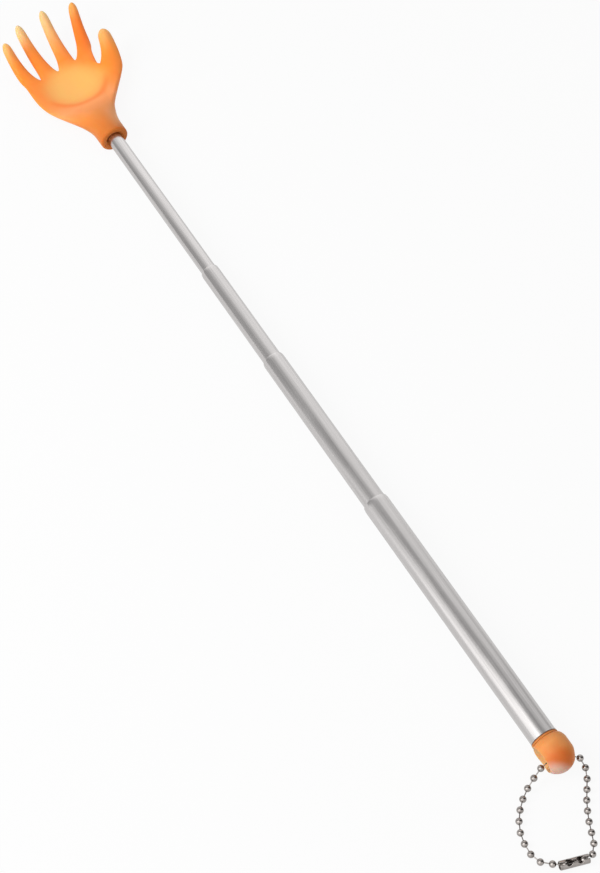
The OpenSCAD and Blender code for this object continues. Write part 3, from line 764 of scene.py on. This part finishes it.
def bead_profile():
    """A half circle from hole to hole, whose ends roll in to a short lip."""
    edge = math.asin(BEAD_HOLE / BEAD_R)
    a = np.linspace(np.pi - edge, edge, BEAD_STEPS)
    ball = BEAD_R * np.stack([np.cos(a), np.sin(a)], axis=1)
    lip = ball[0] + LIP
    return np.vstack([lip[::-1], ball, lip * [-1, 1]])


nearby = np.concatenate([centres[:1], centres, centres[-1:]])
ball = lathe(bead_profile(), BEAD_SIDES)
for name, centre, axes in zip(bead_names, centres, facing(nearby[2:] - nearby[:-2])):
    piece = new_piece(name + "_rolled", ball @ axes + centre, ring_quads(numbered(ball)), sharp=60)
    dress(piece, "chain", "chain_nickel", nickel, name)
pitch = np.linalg.norm(np.diff(centres, axis=0), axis=1)
print("beads:", len(bead_names), "pitch in mm:", round(pitch.min(), 2), "to", round(pitch.max(), 2))

# %% The links
LINK_R, HEAD_R, HEAD_IN, LINK_SIDES = 0.2, 0.36, 0.51, 12
HEAD_TURN, HEAD_STEPS, HEAD_POLE, HEAD_NECK = 0.82 * np.pi, 7, 0.01, 0.5
spans = np.diff(centres, axis=0)
a = np.linspace(0, HEAD_TURN, HEAD_STEPS)
head = np.stack([HEAD_IN - HEAD_R * np.cos(a), HEAD_R * np.sin(a) + HEAD_POLE], axis=1)
near = lathe(np.vstack([head, [HEAD_IN + HEAD_NECK, LINK_R]]), LINK_SIDES)
mirrored = near[::-1] * np.array([-1, 1, 1])
grids = np.stack([np.concatenate([near, mirrored + [length, 0, 0]]) for length in pitch])
grids = np.einsum("kabi,kij->kabj", grids, facing(spans)) + centres[:-1, None, None]
numbers = np.arange(grids[..., 0].size).reshape(grids.shape[:3])
links = new_piece("chain_links_headed", grids, [face for n in numbers for face in capped(n)])
dress(links, "chain", "chain_nickel", nickel, "chain_links")
print("links:", len(spans))

# %% [markdown]
# ### The snap connector
# The connector is a strip rolled into a sleeve, with a slot along its top that widens into two windows for
# the end beads. How far the sleeve is open at each place along it is a plain function, so the whole sheet is
# one grid from one edge of the slot round to the other, and a Solidify gives it its wall.

# %% The connector
def sheet_quads(grid):
    """Faces of an open sheet: each point with its neighbours in the column, the row and across both."""
    n = numbered(grid)
    return np.stack([n[:-1, :-1], n[:-1, 1:], n[1:, 1:], n[1:, :-1]], axis=-1).reshape(-1, 4)


CONNECTOR_R, THROAT, SLOT, WINDOW_R, END_PAST, STRIP = 1.55, 1.3, 0.8, 1.25, 0.7, 0.25
TURN_FROM, TURN_TO, TURN_IN, WIDEST = 0.3, 0.12, 0.06, 0.95
ALONG_STEPS, ROUND_STEPS = 81, 41
grip = centres[-1] - centres[0]
half = np.linalg.norm(grip) / 2 + BEAD_R + END_PAST
window_at = np.linalg.norm(grip) / 2 - BEAD_R
straight = np.linspace(-half + TURN_FROM, half - TURN_FROM, ALONG_STEPS)
s = np.concatenate([[-half, -half + TURN_TO], straight, [half - TURN_TO, half]])
radius = np.interp(np.abs(s), [half - TURN_FROM, half - TURN_TO, half],
                   [CONNECTOR_R, CONNECTOR_R - TURN_IN, THROAT])
open_w = np.maximum(SLOT / 2, np.sqrt(np.maximum(WINDOW_R**2 - (np.abs(s) - window_at) ** 2, 0)))
edge = np.arcsin(np.clip(open_w / radius, 0, WIDEST))[:, None]
a = np.pi / 2 + edge + (2 * np.pi - 2 * edge) * np.linspace(0, 1, ROUND_STEPS)
along = np.repeat(s[:, None], ROUND_STEPS, axis=1)
sheet = np.stack([along, radius[:, None] * np.cos(a), radius[:, None] * np.sin(a)], axis=-1)
middle = (centres[0] + centres[-1]) / 2
connector = new_piece("rolled_connector", sheet @ facing(grip) + middle, sheet_quads(sheet), sharp=50)
wall = connector.modifiers.new("wall", "SOLIDIFY")
wall.thickness, wall.offset = STRIP * MM, -1
dress(connector, "chain", "chain_nickel", nickel, "chain_connector")
print("connector length in mm:", round(2 * half, 2))

# %% [markdown]
# ## The studio
# The photograph is a cut-out on white. A pale floor keeps a soft shadow, and both floor and sky are white to
# the camera and to reflections, while the lamp and the sky light the object at a plain level. Bare steel
# shows whatever surrounds it, so whoever photographs metal hangs a tent of card round it, bright on one side
# and dim on the other. Here the tent is half a large cylinder round the pole that only reflections see. Its
# brightness is a formula, kept as one number for each point: a dim valley crosses it slantwise, which gives
# the tubes their soft dark band.

# %% Sky
SKY_LIGHT, SKY_WHITE = 0.62, 1.0


def shown(tree, in_metal=1.0):
    """1 on camera and refracted rays, `in_metal` on reflected ones, 0 on the light that falls on things."""
    path = add_node(tree, "ShaderNodeLightPath").outputs
    mirrored = reckon(tree, "MULTIPLY", path["Is Glossy Ray"], in_metal)
    either = reckon(tree, "MAXIMUM", path["Is Camera Ray"], mirrored)
    return reckon(tree, "MAXIMUM", either, path["Is Transmission Ray"])


world = bpy.data.worlds.new("studio")
bpy.context.scene.world = world
world.use_nodes = True
tree = world.node_tree
strength = add_node(tree, "ShaderNodeMapRange", {
    "Value": shown(tree), "To Min": SKY_LIGHT, "To Max": SKY_WHITE})
sky = tree.nodes["Background"]
sky.inputs["Color"].default_value = (1, 1, 1, 1)
tree.links.new(strength.outputs["Result"], sky.inputs["Strength"])
print("sky light:", SKY_LIGHT)

# %% Floor
def glowing_material(name):
    """A material with an empty tree, for the studio's own surfaces."""
    material = bpy.data.materials.new(name)
    material.use_nodes = True
    material.node_tree.nodes.clear()
    return material, material.node_tree


FLOOR_HALF, FLOOR_GAP, PAPER, GLOW_SHARE, GLOW_IN_METAL = 3000, 0.05, 0.7, 0.92, 0.65
floor_z = cad_box[0][2] / MM - FLOOR_GAP
corners = np.array([[-1, -1, 0], [1, -1, 0], [1, 1, 0], [-1, 1, 0]]) * FLOOR_HALF + [0, 0, floor_z]
floor = new_piece("floor", corners, [[0, 1, 2, 3]])
floor_white, tree = glowing_material("floor white")
paper = add_node(tree, "ShaderNodeBsdfDiffuse", {"Color": (PAPER, PAPER, PAPER, 1)})
glow = add_node(tree, "ShaderNodeEmission", {"Color": (1, 1, 1, 1), "Strength": 1.0})
mixed = add_node(tree, "ShaderNodeMixShader", {
    0: reckon(tree, "MULTIPLY", shown(tree, GLOW_IN_METAL), GLOW_SHARE),
    1: paper.outputs["BSDF"], 2: glow.outputs["Emission"]})
add_node(tree, "ShaderNodeOutputMaterial", {"Surface": mixed.outputs["Shader"]})
floor.data.materials.append(floor_white)
print("floor at z in mm:", round(floor_z, 2))

# %% The tent's brightness
NEAR_X, FAR_L = 160, 570
VALLEY_A, VALLEY_DRIFT = -2, 72
CARD, CARD_DIP, DIP_RATE = 0.46, 0.08, 2
NEAR_GLOW, NEAR_FADE, NEAR_SOFT = 1.15, 380, 70
FAR_GLOW, FAR_GAIN, FAR_LEAST, FAR_SOFT, FAR_WIDEN = 0.43, 0.34, -0.5, 35, 75
DUSK, DUSK_RATE, DUSK_A, DUSK_SOFT = 0.25, 2.5, 55, 25
PATCH, PATCH_X, PATCH_L, PATCH_A, PATCH_W = 4, -20, 100, 38, 18
SHADE, SHADE_X, SHADE_L, SHADE_A, SHADE_SOFT = 0.85, 80, 120, 12, 30


def tent_shade(x, a):
    """Brightness of the card at x along the pole and a degrees from overhead: its own level, a bright near
    side that fades along the pole and a far side that brightens, with a dark valley drifting between the
    two. Dusk takes a little off one foot, a shade dims the card by the handle, and one patch is a Gaussian
    in both directions."""
    far = (x - NEAR_X) / FAR_L
    valley = VALLEY_A + VALLEY_DRIFT * far
    card = CARD - CARD_DIP * np.clip(1 - DIP_RATE * far, 0, 1)
    near_side = NEAR_GLOW * (1 - smooth((x - NEAR_X) / NEAR_FADE)) * smooth((a - valley) / NEAR_SOFT)
    far_soft = FAR_SOFT + FAR_WIDEN * np.clip(far, 0, 1)
    far_side = (FAR_GLOW + FAR_GAIN * np.clip(far, FAR_LEAST, 1)) * smooth((valley - a) / far_soft)
    dusk = DUSK * np.clip(1 - DUSK_RATE * far, 0, 1) * smooth((-a - DUSK_A) / DUSK_SOFT)
    patch = PATCH * np.exp(-(((x - PATCH_X) / PATCH_L) ** 2) - ((a - PATCH_A) / PATCH_W) ** 2)
    shade = SHADE * smooth((SHADE_X - x) / SHADE_L) * smooth((SHADE_A - a) / SHADE_SOFT)
    return (card + near_side + far_side - dusk) * (1 - shade) + patch


print("brightness overhead at x = 0:", round(float(tent_shade(0.0, 0.0)), 2))

# %% The tent
TENT_R, TENT_FROM, TENT_TO = 650, -600, 1400
TENT_LONG, TENT_ROUND = 81, 61
x, a = np.meshgrid(np.linspace(TENT_FROM, TENT_TO, TENT_LONG), np.linspace(-90, 90, TENT_ROUND),
                   indexing="ij")
strip = np.stack([x, TENT_R * np.sin(np.radians(a)), TENT_R * np.cos(np.radians(a))], axis=-1)
tent = new_piece("tent", strip, sheet_quads(strip))
paint(tent, shade=tent_shade(x, a))
tent_card, tree = glowing_material("tent card")
shade = add_node(tree, "ShaderNodeAttribute", attribute_name="shade").outputs["Fac"]
glow = add_node(tree, "ShaderNodeEmission", {"Color": (1, 1, 1, 1), "Strength": shade})
add_node(tree, "ShaderNodeOutputMaterial", {"Surface": glow.outputs["Emission"]})
tent.data.materials.append(tent_card)
tent.visible_camera = tent.visible_diffuse = tent.visible_shadow = tent.visible_transmission = False
print("tent points:", strip.shape[:2])

# %% The softbox
KEY_AT, KEY_TARGET, KEY_SIZE, KEY_WATTS = (200, 560, 440), (60, 0, 0), (480, 300), 4
POLE_WAY = [1, 0, 0.01]
lamp = bpy.data.lights.new("key softbox", "AREA")
lamp.shape = "RECTANGLE"
lamp.size, lamp.size_y = KEY_SIZE[0] * MM, KEY_SIZE[1] * MM
lamp.energy = KEY_WATTS
key = bpy.data.objects.new("key softbox", lamp)
# A lamp shines along its own -Z, and its long side lies across the pole's direction
key_at = np.array(KEY_AT) * MM
z = key_at - np.array(KEY_TARGET) * MM
z /= np.linalg.norm(z)
x = np.cross(POLE_WAY, z)
x /= np.linalg.norm(x)
key.matrix_world = placed([x, np.cross(z, x), z], key_at)
bpy.context.scene.collection.objects.link(key)
key.visible_glossy = False
print("lamp:", key.name, KEY_WATTS, "W")

# %% [markdown]
# ## Finish
# The view transform is set to Standard so that colours come out as written.

# %% Finish
bpy.context.scene.view_settings.view_transform = "Standard"
